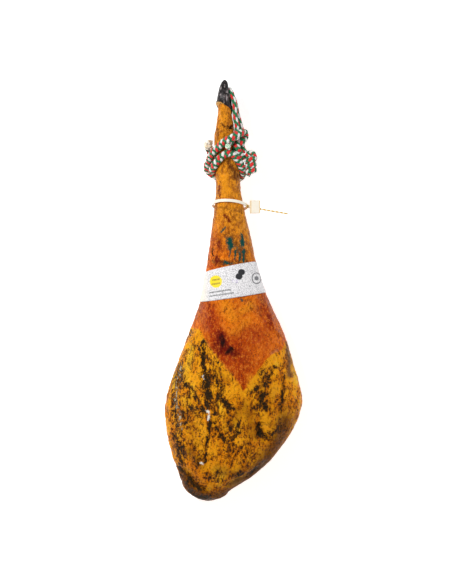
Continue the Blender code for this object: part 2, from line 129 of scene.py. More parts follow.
# Colour marks: the strength runs from 0 to 1.
# Black crust, and painted shadow in and beside the deep dimple.
BLACK = (
    (((-60, -100), (-60, -140), (-57, -172)), 4, 1),
    (((-56, -166), (-50, -208)), 10, 1),
    (((-58, -150), (-53, -196), (-50, -226)), 5.5, 1),
    (((-54, -147), (-36, -160)), 8, 0.42),
    (((-38, -165), (-23, -192), (-28, -206), (-8, -230)), 6, 0.85),
    (((-94, -185), (-80, -195), (-68, -217)), 4.5, 0.62),
    (((-44, -130), (-36, -230)), 19, 0.3),
    (((-107, -150), (-113, -240), (-103, -330)), 11, 0.42),
    (((-30, -240), (10, -300)), 24, 0.28),
    (((62, -168), (50, -230)), 15, 0.36),
    (((-10, -308), (44, -338)), 18, 0.28),
    (((-70, -250), (-66, -330)), 16, 0.24),
    (((-62, -232), (-52, -238)), 6, 0.7),
    (((-78, -228), (-70, -246)), 12, 0.48),
    (((-47, -254), (-49, -278), (-55, -306), (-56, -338)), 3, 1),
    (((-39, -257), (-29, -274), (-21, -291), (-7, -292), (9, -278)), 3.4, 0.72),
    (((9, -254), (9, -270)), 3.6, 0.85),
    (((58, -199), (54, -219), (66, -230)), 4.6, 0.9),
    (((52, -231), (44, -222)), 6, 0.45),
    (((80, -151), (70, -171)), 4.2, 0.85),
    (((46, -190), (34, -196)), 5, 0.6),
    (((100, -167), (98, -205), (92, -238)), 2.6, 0.7),
    # Painted shadow: near black in the deep dimple, and darker beside it.
    (((49, -264), (52, -279), (65, -290)), 5, 1),
    (((68, -280), (90, -276), (96, -262)), 8, 0.55),
    (((-106, -150), (-117, -206), (-119, -230), (-111, -266), (-104, -282)), 7.5, 0.68),
    (((-100, -240), (-88, -270)), 6, 0.5),
    (((-113, -286), (-108, -312), (-102, -338)), 8, 0.62),
    (((-80, -330), (-66, -338)), 5, 0.55),
    (((-109, -352), (-92, -363), (-78, -385), (-60, -395)), 4.6, 0.95),
    (((-86, -398), (-70, -410), (-50, -414)), 7, 0.8),
    (((-100, -372), (-92, -388)), 8, 0.5),
    (((45, -351), (34, -360)), 4.5, 0.75),
    (((14, -360), (2, -364)), 6, 0.62),
    (((-46, -322), (-38, -326)), 5, 0.55),
    (((-50, -368), (-28, -372)), 8, 0.5),
    (((-34, -358), (-24, -362)), 4, 0.6),
    (((-98, -78), (-86, -84)), 8, 0.6),
    (((-68, -100), (-62, -118)), 6, 0.5),
    (((-23, 330), (-6, 324)), 3, 0.35),
    (((-16, 321), (-8, 322), (0, 326)), 3, 0.8),
    (((-41, 71), (-42, 86)), 2.4, 0.95),
)
BLACK_BACK = (
    (((-96, -120), (-104, -170), (-110, -230)), 7, 0.7),
    (((88, -150), (96, -200), (100, -250)), 7, 0.7),
    (((-70, -330), (-20, -346), (30, -352)), 6, 0.7),
    (((-30, -190), (-22, -240)), 9, 0.55),
    (((36, -210), (44, -262)), 8, 0.55),
    (((-74, -250), (-60, -290)), 10, 0.45),
)
GREY = (
    (((109, -100), (110, -166)), 5, 0.9),
    (((62, -343), (36, -361), (14, -373), (-7, -383)), 6, 0.85),
)
# Brown of the fat, and painted shade: the darker right side and lower rim, and the shadow beside the deep
# dimple.
BROWN_AND_SHADE = (
    (((102, -256), (86, -306), (50, -352)), 20, 0.95),
    (((46, -366), (0, -398), (-40, -412)), 16, 0.95),
    (((-100, -372), (-80, -400), (-50, -414)), 19, 1),
    (((-88, -314), (-68, -338)), 10, 0.7),
    (((-28, -352), (6, -362), (28, -350)), 12, 0.5),
    (((30, -236), (40, -280)), 16, 0.55),
    (((20, -226), (-6, -262)), 14, 0.45),
    (((96, -226), (100, -262)), 12, 0.5),
    (((48, -180), (84, -236)), 26, 0.28),
    (((-90, -226), (-78, -300)), 15, 0.25),
    (((78, -262), (90, -282)), 10, 0.5),
    (((-30, -150), (-14, -178)), 7, 0.35),
)
LOBE = ((((-84, -338), (-72, -362), (-52, -374)), 11, 0.9), (((-26, -330), (14, -318)), 16, 0.5))
CRYSTALS = (
    (((-53, -234), (-47, -240), (-50, -252)), 2.1, 1),
    (((-64, -337), (-62, -340)), 2.2, 0.9),
    (((-60, -166), (-60, -174)), 1.8, 0.8),
)
# A seam along the fat's left edge, flecked with painted glints.
SEAM_GLINTS = ((((-103, -150), (-113, -190), (-115, -212), (-107, -242), (-105, -272)), 2.4, 0.9),)
LIP = (
    (((-90, -71), (-75, -77), (-67, -85), (-58, -105), (-42, -125), (-26, -145), (-6, -169), (15, -198)),
     5, 1),
    (((22, -200), (33, -188), (45, -172), (58, -155), (70, -142), (84, -134)), 6, 0.9),
)
BRUISE = (
    (((-30, 206), (-26, 190)), 4.5, 0.75),
    (((-16, 150), (-6, 137)), 5, 0.8),
    (((-30, 102), (-27, 86)), 7, 0.8),
    (((-36, 70), (-30, 54)), 6.5, 0.8),
    (((-26, -88), (-22, -112)), 14, 1),
    (((-16, -112), (2, -122)), 12, 1),
    (((-38, -104), (-28, -124)), 9, 0.7),
    (((-28, -84), (-18, -90)), 6, 0.4),
    (((14, -84), (10, -110)), 3.5, 0.3),
    (((88, -78), (92, -88)), 3, 0.6),
    (((-3, -6), (18, -24)), 4, 0.2),
    (((-50, -22), (-44, -66)), 9, 0.42),
    (((56, -16), (74, -60), (90, -92)), 8, 0.5),
    (((19, -194), (14, -168)), 14, 0.28),
)
CLOT = ((((-24, -90), (-21, -106)), 6, 0.9), (((-4, -110), (-13, -122)), 5.5, 0.95))
PINK = (
    (((-66, -28), (-62, -52), (-56, -74)), 6.5, 0.3),
    (((-56, -100), (-30, -136), (-4, -166)), 3, 0.5),
    (((68, -22), (80, -58)), 3, 0.3),
    (((76, -122), (86, -116)), 4, 0.8),
    (((50, -12), (60, -24)), 4, 0.5),
)
# Olive-brown mottles, and painted shade: the shadow under the seal, the shadow along the band's top edge,
# and darker left and right edges of the shank and the skin.
OLIVE_AND_SHADE = (
    (((-10, 258), (4, 226)), 9, 0.85),
    (((-22, 246), (-30, 228)), 7, 0.4),
    (((-27, 190), (-25, 208)), 5, 0.35),
    (((-8, 110), (16, 76), (24, 52)), 13, 0.7),
    (((-34, 167), (14, 158)), 5, 0.5),
    (((-10, 160), (8, 140)), 9, 0.35),
    (((-38, 60), (-10, 55), (26, 62)), 6.5, 0.8),
    (((18, -16), (50, -40)), 12, 0.4),
    (((-24, 332), (-10, 325), (2, 330)), 3.4, 0.8),
    (((-32, 322), (-31, 300)), 3.4, 0.6),
    (((-20, 316), (-17, 302)), 2.4, 0.6),
    (((-6, 352), (-8, 338)), 4, 0.5),
    (((-22, 356), (-16, 296)), 14, 0.32),
    (((-64, -12), (-88, -78)), 9, 0.5),
    (((68, -10), (99, -86)), 8, 0.4),
    (((-36, 190), (-54, 55)), 7, 0.5),
    (((14, 190), (44, 60)), 6, 0.35),
)
# Painted light: brighter patches, rim light along the fat's left and right outlines, and highlights on the
# skin and the shank.
PAINTED_GLOW = (
    (((-22, 226), (-14, 200)), 7, 0.7),
    (((10, 190), (22, 150)), 7, 0.5),
    (((-26, 170), (-22, 150)), 7, 0.4),
    (((-4, 168), (8, 150)), 7, 0.45),
    (((-16, -28), (0, -52)), 14, 0.45),
    (((16, -40), (34, -28)), 9, 0.5),
    (((-27, 308), (-24, 296)), 4, 0.8),
    (((-14, 306), (-10, 300)), 4, 0.7),
    (((-24, 340), (-20, 330)), 5, 0.5),
    (((-28, 360), (-18, 345)), 8, 0.4),
    (((0, -80), (24, -60)), 10, 0.3),
    (((-84, -112), (-90, -150)), 9, 0.8),
    (((-97, -152), (-94, -184)), 8, 0.6),
    (((-117, -165), (-121, -190)), 5, 0.8),
    (((-82, -188), (-80, -206)), 7, 0.7),
    (((-92, -212), (-88, -226)), 8, 0.5),
    (((-30, -220), (-22, -232)), 6, 0.6),
    (((33, -170), (34, -186)), 7, 0.7),
    (((80, -134), (86, -146)), 6, 0.7),
    (((119, -130), (125, -180)), 5, 0.8),
    (((-30, -352), (-24, -366)), 9, 0.5),
    (((4, -262), (12, -274)), 6, 0.6),
    (((93, -248), (92, -260)), 5, 0.5),
)
REDNESS = (
    (((19, -190), (12, -130), (20, -100)), 34, 0.75),
    (((-44, -40), (-36, -88), (-6, -128)), 19, 0.95),
    (((72, -50), (62, -110)), 20, 0.45),
)
INK = (
    (((-22, 118), (-16, 128)), 2.2, 0.8),
    (((-8, 101), (-6, 89)), 7.5, 1),
    (((15, 114), (16, 104)), 3, 0.9),
    (((17, 100), (17, 92)), 6, 1),
    (((-6, 80), (-8, 62)), 2, 0.5),
    (((6, 86), (2, 66)), 2.6, 0.85),
    (((12, 80), (11, 62)), 2.2, 0.75),
    (((19, 82), (20, 60)), 3, 0.9),
    (((-18, 58), (-11, 55)), 2.8, 0.85),
    (((-6, 54), (4, 55)), 1.8, 0.65),
    (((14, -17), (20, -19)), 1.8, 0.65),
)

COLOUR_MARKS = {
    "grey": GREY, "brown_and_shade": BROWN_AND_SHADE, "lobe": LOBE, "crystals": CRYSTALS, "seam_glints": SEAM_GLINTS, "lip": LIP,
    "bruise": BRUISE, "clot": CLOT, "pink": PINK, "olive_and_shade": OLIVE_AND_SHADE, "painted_glow": PAINTED_GLOW, "ink": INK, "red": REDNESS,
}

RINGS, SECTORS = 366, 262  # of the fine leg
RING_WIDTH_WEIGHT, FIRST_RING = 0.7, 0.08  # rings lie closer where the width changes
LUMP_SIZE, SMALL_LUMP_SIZE, LUMP_HEIGHT = 13, 6, 1.8
PIT_SIZE, PIT_HEIGHT = 3.4, 0.9
HIGHEST_LUMP, SKIN_CALM = 1.1, 0.55  # the skin takes away this share of the lumps
CALM_UNDER_ROPE = (225, 235, 310, 320)  # fades in and out along the leg
SKIN_COLOUR_RAMP = 2.5
SWAY_SIZE, SMALL_SWAY_SIZE, SMALL_SWAY = 11, 4, 0.45
OTHER_NOISE = Vector((40, 0, 0))
MARK_SWAY, EDGE_SWAY = 3.6, 2.5  # how far the colour marks and the skin's edge wander
OCHRE_RISE, OCHRE_LEAN = (20, 150), 0.8  # along the leg, where orange turns to ochre, sooner at the right

# Rope: the routes of the solids. TURNS and TUCK rows are angle round the shank, place along it
# and how far out of the skin; the others are x, y, z. The fine ropes are a little thicker, because
# soft turns press on each other.
TURNS_ROPE_RADIUS, LOOP_ROPE_RADIUS = 7.2, 5.2
FIRST_TURNS = (
    (-92, 284, 10.6), (-104, 279, 9.4), (-119, 272, 7.8), (-132, 263, 7.2), (-134, 253, 7.2),
    (-118, 244.5, 7.2), (-98, 240.5, 7.2), (-78, 241.5, 7.2),
    (-60, 246.5, 7.2), (-44, 253, 7.2), (-28, 260, 7.2), (-14, 266.5, 7.2), (-2, 271, 7.3),
    (10, 272.5, 7.4), (22, 270, 7.3), (34, 264.5, 7.2), (47, 257.5, 7.2), (63, 250, 7.2),
    (84, 240, 7.2), (108, 233, 7.2),
    (135, 228, 7.4), (160, 226.5, 7.6), (185, 228, 9.6), (208, 232.5, 17.5), (226, 238.5, 21.4),
    (242, 246, 21.4), (256, 253, 16.5), (268, 260.5, 12),
    (282, 267, 9), (303, 274.5, 7.4), (326, 281.5, 7.3), (344, 288, 9.4), (358, 294.5, 15),
    (368, 299, 19.8), (378, 303.5, 22.4), (389, 308, 22.8), (399, 311.5, 22.6), (408, 314, 20.6),
)
OVER = ((21.2, 314, 85), (22.8, 308.5, 81), (20.8, 302, 82), (16.2, 297.5, 85.5))
LAST_TURN = ((46, 291.5, 9), (41, 285, 7.4), (44, 279.5, 7.3), (54, 275, 7.3), (66, 269, 7.6))
TURNS_END = ((15.8, 264.5, 69.5), (17.8, 263, 68))
OVER_HOOF = (
    (23.6, 276.2, 72), (19.4, 281.6, 72), (16.8, 289, 71.5), (17.2, 297, 69), (18.4, 306, 65),
    (17.6, 315, 61.5), (15.6, 323, 59.5), (12.8, 334, 58), (9, 347, 57), (5.8, 360, 56.4),
    (4, 372, 54), (0.6, 383, 51.6), (-3.2, 391, 50.4),
    (-6, 397, 50.4), (-7.6, 401.6, 53), (-8.2, 403.2, 57.4), (-7.2, 401, 61.8), (-4.6, 396.4, 64),
    (-2.6, 390, 65), (0.8, 380, 67), (2.2, 368, 68.2), (2.8, 356, 68), (4, 345, 67.5),
    (5.8, 334, 69), (7.2, 325, 72.5), (6.2, 317, 78.5),
)
TUCK = ((37, 308.5, 7.9), (26, 300, 7.3), (14, 291.5, 7.4), (5, 285, 8.6))
CUT_END = ((-10.4, 283, 99.5), (-11.6, 283, 105), (-11.6, 284.4, 111))
STOPPER_AXIS = (34.4, 69)
STOPPER_COIL_RADIUS, STOPPER_ROPE_RADIUS, STOPPER_TURNS, TURN_SPACING = 6.8, 6, 3, 11.4
STOPPER_FIRST, STOPPER_ARCH = 233.2, 10.5  # where its lowest turn lies and how high the top one arches
FRAY_BASE, FRAY_TIP, FRAY_RADIUS = (-50.8, 288.6, 61.8), (-53.2, 304, 64.5), 6.8
TUFTS, FRAY_SEED, FRAY_SHIFT = 14, 5, (1, -1.2, 1)  # the fine tufts reach round the rope's end
TUFT_LUMP, TUFT_ROUGHNESS = 2.2, 0.5

# A weave: how its strands rise and sink round the rope, then its groups of strands: helix turns
# for each pitch, colours, share of the spacing that a strand fills, base, swing and dome height.
GREEN, RED, WHITE, CORE, CUT = range(5)
PLAIT = (4, 0, ((1, (GREEN,) * 4, 0.94, 0.8, 0.1, 0.17), (-1, (RED, WHITE) * 2, 0.98, 0.8, -0.1, 0.17)))
WRAP = (2, -1, ((-1, (GREEN,) * 2, 0.62, 0.84, 0.0, 0.18), (0, (RED, WHITE) * 3, 1.0, 0.8, -0.12, 0.16)))
PLAIT_PITCH, WRAP_PITCH, STOPPER_PITCH = 41, 41, 34
ROUTE_STEP, CORE_SHARE, CORE_SECTORS = 1.6, 0.76, 14
# A strand's section, across and up, and its yarn's wave over the width and for each mm.
STRAND_ACROSS = np.array((-1.0, -0.8, -0.45, 0.0, 0.45, 0.8, 1.0, 0.5, -0.5))
STRAND_DOME = np.array((0.0, 0.5, 0.88, 1.0, 0.88, 0.5, 0.0, -0.15, -0.15))
YARN_ACROSS, YARN_ALONG = 7, 1.9
# The cut end's rings: share of the radius, rise.
CUT_DOME = (
    (0.8, -1.5), (1.02, -0.6), (1.04, 0.4), (0.9, 1.2),
    (0.6, 1.6), (0.32, 1.5), (0.2, 0.8), (0.08, 0.6),
)

# Claws. Each row: share of the way to the tip, left edge, right edge, cleft side, outer side.
OUTER_CLAW = np.array((
    (0, -35.2, -4.8, 0.6, 20.5), (0.2, -33.4, -6.2, 1.6, 22.0), (0.45, -31.2, -8.4, 3.2, 21.0),
    (0.7, -28.2, -9.6, 4.8, 17.5), (0.87, -24.8, -11.0, 6.0, 14.2), (0.96, -21.4, -13.4, 7.2, 11.8),
))
OUTER_CLAW_TIP = (-17.6, 421.5, 9.4)
INNER_CLAW = np.array((
    (0, -30.5, -4.0, -20.0, -0.8), (0.2, -35.2, 1.0, -22.5, -6.5), (0.42, -34.0, 6.2, -24.5, -13.0),
    (0.6, -30.0, 5.4, -25.2, -16.0), (0.8, -24.5, 0.0, -25.0, -17.5), (0.94, -19.0, -6.0, -23.8, -18.8),
))
INNER_CLAW_TIP = (-12.5, 409, -21.2)
CLAW_ROWS, CLAW_SECTORS, CLAW_GAP, FLAT_SIDE_CROWN = 64, 72, 0.4, 0.16
CLAW_DOME_POWER, CLAW_SIDE_POWER = 0.8, 0.85  # under 1 is fuller than an ellipse
RIM_FADE = (-24, -12)  # where across the claw its golden rim ends

# Paper band and seal.
BAND_TOP, BAND_TOP_SLOPE, BAND_TOP_ARCH = 48.8, 0.205, 3.0
BAND_LOW, BAND_LOW_SLOPE, BAND_LOW_ARCH = -10.9, 0.148, -2.0
BAND_GAP, BAND_THICKNESS, BAND_ROWS, BAND_SECTORS = 0.9, 0.9, 26, 200
BAND_EDGE_PASSES, CREAM_FADE = 4, (46, 64)  # the paper turns cream towards its left edge
BAR_SLOPE, PRINT_HEIGHT = 0.15, (62, 66)  # the print fades in between these heights
LOCK_X, TAIL_DASH = 43.5, 8.5  # the seal's lock across the leg, and one dash of its tail
LOCK_FADE, STRAP_FADE = (6, 11), (22, 27)  # from the lock outwards, and from the strap to the right


def smooth_step(value, low, high):
    t = np.clip((value - low) / (high - low), 0, 1)
    return t * t * (3 - 2 * t)


def curve_through(rows, places):
    """Catmull-Rom values of each column at places, counted in rows from 0."""
    rows, places = np.asarray(rows, float), np.clip(np.asarray(places, float), 0, len(rows) - 1)
    i = np.minimum(places.astype(int), len(rows) - 2)
    t = (places - i)[..., None]
    a, b, c, d = (rows[np.clip(i + k, 0, len(rows) - 1)] for k in (-1, 0, 1, 2))
    return b + 0.5 * t * (c - a + t * (2 * a - 5 * b + 4 * c - d + t * (3 * (b - c) + d - a)))


FINE_PLACES = np.linspace(0, len(LEG_STATIONS) - 1, 16 * (len(LEG_STATIONS) - 1) + 1)
FINE_ROWS = curve_through(LEG_STATIONS, FINE_PLACES)


def station_place(along):
    """Place in LEG_STATIONS, counted in rows, where the smooth leg reaches along."""
    return np.interp(along, FINE_ROWS[:, 0], FINE_PLACES)


def line_distance(x, y, points):
    """Distance to a line of straight pieces."""
    best = np.full(np.shape(x), 1e9)
    for (x1, y1), (x2, y2) in zip(points, points[1:]):
        across, up = x2 - x1, y2 - y1
        t = np.clip(((x - x1) * across + (y - y1) * up) / (across * across + up * up), 0, 1)
        best = np.minimum(best, np.hypot(x - x1 - t * across, y - y1 - t * up))
    return best


def marks(x, y, rows):
    """Strongest of soft-edged marks."""
    total = np.zeros(np.shape(x))
    for points, width, strength in rows:
        total = np.maximum(total, strength * np.exp(-(line_distance(x, y, points) / width) ** 2))
    return total


def relief(x, y, rows):
    """Sum of soft-edged marks."""
    total = np.zeros(np.shape(x))
    for points, width, height in rows:
        total += height * np.exp(-(line_distance(x, y, points) / width) ** 2)
    return total


def skin_share(x, y, edge, ramp):
    """1 on the skin, 0 on the bare fat."""
    border = np.interp(x, [p[0] for p in edge], [p[1] for p in edge])
    return np.where(y > border, smooth_step(line_distance(x, y, edge), 0, ramp), 0)


def leg_points(angles, places, out):
    """Points on the leg, or out from it. Angle 0 is the shown side, 90 the right."""
    rows = curve_through(LEG_STATIONS, places)
    along, left, right, top, low = (rows[..., k] for k in range(5))
    waist = BODY_HEIGHT + (SHANK_HEIGHT - BODY_HEIGHT) * smooth_step(along, BODY_END, SHANK_START)
    waist = np.clip(waist, low + 1, top - 1)
    side, front = np.sin(np.radians(angles)), np.cos(np.radians(angles))
    power = 2 / SECTION_POWER
    middle, half = (left + right) / 2, (right - left) / 2
    tall = np.where(front > 0, top - waist, waist - low)
    x = half * np.sign(side) * np.abs(side) ** power
    z = tall * np.sign(front) * np.abs(front) ** power
    way = np.stack([x / half ** 2, z / tall ** 2], -1)
    way /= np.linalg.norm(way, axis=-1, keepdims=True)
    sunk_shade = SKIN_STEP * (1 - smooth_step(along, *SKIN_FADE))
    shown = relief(middle + x, along, RELIEF) - sunk_shade * skin_share(middle + x, along, SKIN_EDGE, SKIN_RAMP)
    hidden = relief(middle + x, along, BACK_RELIEF)
    hidden -= sunk_shade * skin_share(middle + x, along, BACK_SKIN_EDGE, SKIN_RAMP)
    lift = np.where(front > 0, shown, hidden) * np.sqrt(np.abs(front)) + out
    px, pz = middle + x + way[..., 0] * lift, waist + z + way[..., 1] * lift
    slant = smooth_step(along, FOOT_MIDDLE[1] - FOOT_BLEND, FOOT_MIDDLE[1])
    py = along + slant * (FOOT_SLANT_X * (px - FOOT_MIDDLE[0]) + FOOT_SLANT_Z * (pz - SHANK_HEIGHT))
    return np.stack([px, py, pz], -1)


def on_shank(rows):
    rows = np.array(rows, float)
    return leg_points(rows[:, 0], station_place(rows[:, 1]), rows[:, 2])


def grid_faces(rows, count, close_rows=False):
    faces = []
    for row in range(rows if close_rows else rows - 1):
        a, b = row * count, (row + 1) % rows * count
        for i in range(count):
            j = (i + 1) % count
            faces.append((a + i, a + j, b + j, b + i))
    return faces


def closed_faces(rows, count):
    """Faces of rings that close on a point at each end. Those two points come last."""
    faces = grid_faces(rows, count)
    start, last = rows * count, (rows - 1) * count
    for i in range(count):
        j = (i + 1) % count
        faces += [(start, j, i), (start + 1, last + i, last + j)]
    return faces


def capped_faces(rows, count, first):
    """Faces of rings with a flat face at each end, for points that begin at first."""
    last = (rows - 1) * count
    faces = grid_faces(rows, count) + [tuple(range(count)), tuple(range(last, last + count))]
    return [tuple(first + k for k in face) for face in faces]


def add_piece(name, points, faces, finishes, slots=None):
    """A smooth-shaded object from points in millimetres, riding on the one body."""
    mesh = bpy.data.meshes.new(name)
    mesh.from_pydata([tuple(p) for p in np.asarray(points, float) * MM], [], faces)
    for finish in finishes:
        mesh.materials.append(finish)
    if slots is not None:
        mesh.polygons.foreach_set("material_index", slots)
    work = bmesh.new()
    work.from_mesh(mesh)
    bmesh.ops.recalc_face_normals(work, faces=work.faces)
    work.to_mesh(mesh)
    work.free()
    mesh.shade_smooth()
    piece = bpy.data.objects.new(name, mesh)
    bpy.context.scene.collection.objects.link(piece)
    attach(piece, "root")
    return piece


def set_attribute(piece, name, values):
    layer = piece.data.attributes.new(name, "FLOAT", "POINT")
    layer.data.foreach_set("value", np.asarray(values, np.float32).ravel())


class Paint:
    """Adds nodes to one material. Every colour is linear."""

    def __init__(self, name, roughness, **sockets):
        self.material = bpy.data.materials.new(name)
        self.material.use_nodes = True
        self.tree = self.material.node_tree
        self.shader = self.tree.nodes["Principled BSDF"]
        self.set("Roughness", roughness)
        for socket, value in sockets.items():
            self.set(socket.replace("_", " ").title().replace("Ior", "IOR"), value)
        self.place = self.node("ShaderNodeTexCoord").outputs["Object"]

    def join(self, socket, value):
        """Links another node's output to the socket, or sets the socket's own value."""
        if isinstance(value, bpy.types.NodeSocket):
            self.tree.links.new(value, socket)
        elif isinstance(value, tuple) and socket.type == "RGBA":
            socket.default_value = (*value, 1)
        else:
            socket.default_value = value

    def set(self, socket, value):
        self.join(self.shader.inputs[socket], value)

    def node(self, kind, inputs=(), **settings):
        made = self.tree.nodes.new(kind)
        for key, value in settings.items():
            setattr(made, key, value)
        for key, value in dict(inputs).items():
            self.join(made.inputs[key], value)
        return made

    def mask(self, name):
        return self.node("ShaderNodeAttribute", attribute_name=name).outputs["Fac"]

    def noise(self, scale, detail=3, roughness=0.55, place=None):
        made = self.node("ShaderNodeTexNoise", {
            "Vector": place or self.place, "Scale": scale, "Detail": detail, "Roughness": roughness})
        return made.outputs["Fac"]

    def cells(self, scale):
        return self.node("ShaderNodeTexVoronoi", {"Vector": self.place, "Scale": scale}).outputs["Distance"]

    def math(self, operation, a, b=0.0, c=0.0):
        return self.node("ShaderNodeMath", {0: a, 1: b, 2: c}, operation=operation).outputs[0]

    def times(self, a, b):
        return self.math("MULTIPLY", a, b)

    def step(self, value, low, high, to_low=0.0, to_high=1.0):
        made = self.node("ShaderNodeMapRange", {
            "Value": value, "From Min": low, "From Max": high, "To Min": to_low, "To Max": to_high},
            interpolation_type="SMOOTHSTEP")
        return made.outputs[0]

    def mix(self, share, a, b):
        return self.node("ShaderNodeMix", {"Factor": share, 6: a, 7: b}, data_type="RGBA").outputs[2]

    def bump(self, height, distance, strength=1.0, under=None):
        inputs = {"Height": height, "Distance": distance, "Strength": strength}
        if under:
            inputs["Normal"] = under
        made = self.node("ShaderNodeBump", inputs)
        self.set("Normal", made.outputs[0])
        return made.outputs[0]


def ham_finish():
    """Orange skin above, mottled yellow fat with black crust below. Painted light and shade too: shadows
    under the seal, along the band's top edge and in the deep dimple, darker edges and right side, rim light,
    highlights and glints.
    """
    paint = Paint("ham", 0.35, specular_ior_level=0.07)
    along = paint.node("ShaderNodeMapping", {"Vector": paint.place, "Scale": (1.0, 0.55, 1.0)}).outputs[0]
    broad = paint.step(paint.noise(20), 0.36, 0.64)
    middle = paint.step(paint.noise(70, 4, place=along), 0.36, 0.64)
    fine = paint.step(paint.noise(240, 4, 0.65, place=along), 0.34, 0.66)
    grain = paint.step(paint.noise(560, 3, 0.7), 0.36, 0.64)
    skin = paint.mask("skin")

    def weighted(value, weight):
        return paint.math("MULTIPLY_ADD", value, weight, -0.5 * weight)

    def blotch(name, speckle, low, high, under, colour):
        """A mark with a speckled edge over the colour under it."""
        share = paint.math("MULTIPLY_ADD", specks, speckle, paint.mask(name))
        return paint.mix(paint.step(share, low, high), under, colour)

    specks = paint.math("ADD", weighted(fine, 0.95), weighted(grain, 0.75))
    mottle = paint.math("ADD", specks, weighted(middle, 0.55))
    reach = paint.math("MULTIPLY_ADD", paint.mask("black"), 1.22, mottle)

    orange = paint.mix(broad, (0.52, 0.07, 0.002), (0.84, 0.175, 0.003))
    streaks = paint.step(paint.noise(130, 4, 0.65, place=along), 0.38, 0.62)
    ochre = paint.mix(streaks, (0.4, 0.112, 0.005), (0.84, 0.3, 0.012))
    orange = paint.mix(paint.mask("ochre"), orange, ochre)
    orange = paint.mix(paint.mask("red"), orange, (0.42, 0.034, 0.001))
    # Painted glow and highlights on the skin.
    orange = paint.mix(paint.mask("painted_glow"), orange, (0.98, 0.36, 0.01))
    # Olive-brown blotches, partly painted shadows and painted shade at the edges.
    orange = blotch("olive_and_shade", 0.3, 0.1, 0.9, orange, (0.16, 0.046, 0.004))
    orange = paint.mix(paint.mask("pink"), orange, (0.5, 0.17, 0.06))
    dark_specks = paint.math("MULTIPLY_ADD", paint.mask("ochre"), -0.25, specks)
    orange = paint.mix(paint.step(dark_specks, 0.0, 0.7, 0.0, 0.6), orange, (0.14, 0.014, 0.001))
    # Painted glints: small light specks on the skin.
    orange = paint.mix(paint.step(specks, -0.15, -0.7, 0.0, 0.38), orange, (1.0, 0.42, 0.05))
    orange = blotch("bruise", 0.42, 0.15, 0.95, orange, (0.15, 0.006, 0.001))
    orange = blotch("clot", 0.3, 0.3, 1.0, orange, (0.014, 0.001, 0.001))
    orange = blotch("ink", 0.4, 0.15, 0.75, orange, (0.002, 0.062, 0.052))
    orange = paint.mix(paint.step(reach, 0.75, 1.0), orange, (0.03, 0.01, 0.004))

    fat = paint.mix(middle, (1.0, 0.41, 0.01), (0.86, 0.25, 0.002))
    fat = paint.mix(paint.mask("lobe"), fat, (0.86, 0.235, 0.002))
    # Painted glow and rim light on the fat.
    fat = paint.mix(paint.mask("painted_glow"), fat, (1.0, 0.56, 0.022))
    # The brown marks' colour: the fat's brown, and painted shade on the right side and lower rim.
    deep = paint.mix(fine, (0.2, 0.062, 0.002), (0.06, 0.019, 0.001))
    fat = paint.mix(paint.mask("brown_and_shade"), fat, deep)
    fat = paint.mix(paint.mask("grey"), fat, (0.16, 0.085, 0.03))
    fat = paint.mix(paint.step(reach, -0.06, 0.56, 0.0, 0.9), fat, (0.21, 0.055, 0.002))
    fat = paint.mix(paint.mask("lip"), fat, paint.mix(fine, (1.0, 0.44, 0.012), (0.84, 0.28, 0.004)))
    # The crust colour, which also lays the painted shadow in and beside the deep dimple.
    crust_and_shadow = paint.mix(grain, (0.06, 0.034, 0.012), (0.01, 0.006, 0.003))
    fat = paint.mix(paint.step(reach, 0.5, 0.66), fat, crust_and_shadow)
    # Painted glints: pale flecks along the seam.
    seam_glints = paint.times(paint.mask("seam_glints"), paint.step(fine, 0.6, 0.8))
    fat = paint.mix(seam_glints, fat, (0.8, 0.66, 0.42))
    salt = paint.math("MULTIPLY_ADD", paint.mask("crystals"), 1.2, weighted(grain, 0.6))
    fat = paint.mix(paint.step(salt, 0.45, 0.6), fat, (1.0, 0.94, 0.84))

    paint.set("Base Color", paint.mix(skin, fat, orange))
    paint.set("Roughness", paint.step(middle, 0.0, 1.0, 0.22, 0.42))
    wrinkle = paint.bump(paint.cells(150), 0.0016, 0.4)
    height = paint.math("SUBTRACT", paint.times(grain, 0.5), paint.math("ADD", fine, middle))
    paint.bump(height, 0.003, paint.step(skin, 0.0, 1.0, 0.62, 0.5), wrinkle)
    return paint.material


